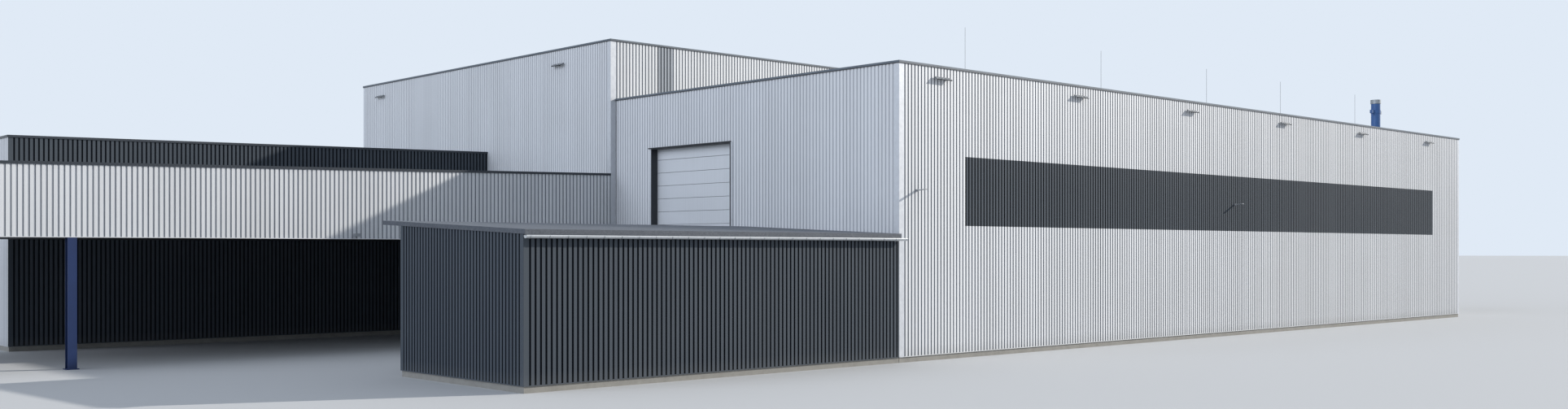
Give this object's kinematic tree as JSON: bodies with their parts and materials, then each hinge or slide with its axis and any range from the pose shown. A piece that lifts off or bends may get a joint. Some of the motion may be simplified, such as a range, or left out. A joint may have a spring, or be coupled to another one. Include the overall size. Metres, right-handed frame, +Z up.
{
  "type": "1:10 scale model of a factory building",
  "caption": "Scale model of a factory building: silver ribbed-metal halls with a dark band, a sectional door, a loading canopy, a dark lean-to and a roof stack.",
  "frame": {"origin": "middle of the plan at ground level", "axes": "+X along the long front to the right, +Y away from the front, +Z up"},
  "size_m": [8.036, 4.279, 1.38],
  "materials": {
    "silver_sheet": "coil-coated trapezoidal steel sheet, satin",
    "dark_sheet": "coil-coated trapezoidal steel sheet, dark grey satin",
    "grey_sheet": "coil-coated steel sheet, mid grey satin",
    "cap_sheet": "folded coated sheet, satin",
    "liner_tray": "coated steel liner tray, satin",
    "roof_membrane": "welded roof membrane, matt",
    "concrete": "cast concrete, matt",
    "door_panel": "coated sandwich panel, satin",
    "blue_steel": "blue structural paint, satin",
    "zinc": "weathered titanium zinc, satin",
    "lamp_housing": "powder coat, satin",
    "galvanised_steel": "hot-dip galvanised, dull",
    "rod_metal": "drawn aluminium, satin"
  },
  "bodies": {
    "root": {"canopy_caps": "cap_sheet", "canopy_columns": "blue_steel", "canopy_fascia": "silver_sheet", "canopy_roof": "roof_membrane", "canopy_soffit": "dark_sheet", "canopy_upstands": "liner_tray", "corner_trims": "silver_sheet", "dark_hall_back_wall": "liner_tray", "dark_hall_caps": "cap_sheet", "dark_hall_end_cladding": "silver_sheet", "dark_hall_end_wall": "liner_tray", "dark_hall_front_cladding": "dark_sheet", "dark_hall_front_wall": "liner_tray", "dark_hall_roof": "roof_membrane", "door_leaf": "door_panel", "door_lining": "dark_sheet", "exhaust_stack": "blue_steel", "facade_band": "dark_sheet", "floodlights": "lamp_housing", "floor_slabs": "concrete", "grey_sheet": "grey_sheet", "gutter": "zinc", "gutter_hooks": "galvanised_steel", "lean_to_back_wall": "dark_sheet", "lean_to_cladding": "dark_sheet", "lean_to_front_wall": "dark_sheet", "lean_to_roof": "zinc", "lean_to_side_wall": "dark_sheet", "lightning_rods": "rod_metal", "long_hall_caps": "cap_sheet", "long_hall_cladding": "silver_sheet", "long_hall_end_wall": "liner_tray", "long_hall_front_wall": "liner_tray", "long_hall_roof": "roof_membrane", "long_hall_side_wall": "liner_tray", "stack_cap": "galvanised_steel", "stack_mast": "galvanised_steel", "tall_hall_back_wall": "liner_tray", "tall_hall_caps": "cap_sheet", "tall_hall_cladding": "silver_sheet", "tall_hall_end_wall": "liner_tray", "tall_hall_front_wall": "liner_tray", "tall_hall_roof": "roof_membrane", "tall_hall_side_wall": "liner_tray", "wall_lamps": "lamp_housing"}
  },
  "joints": []
}
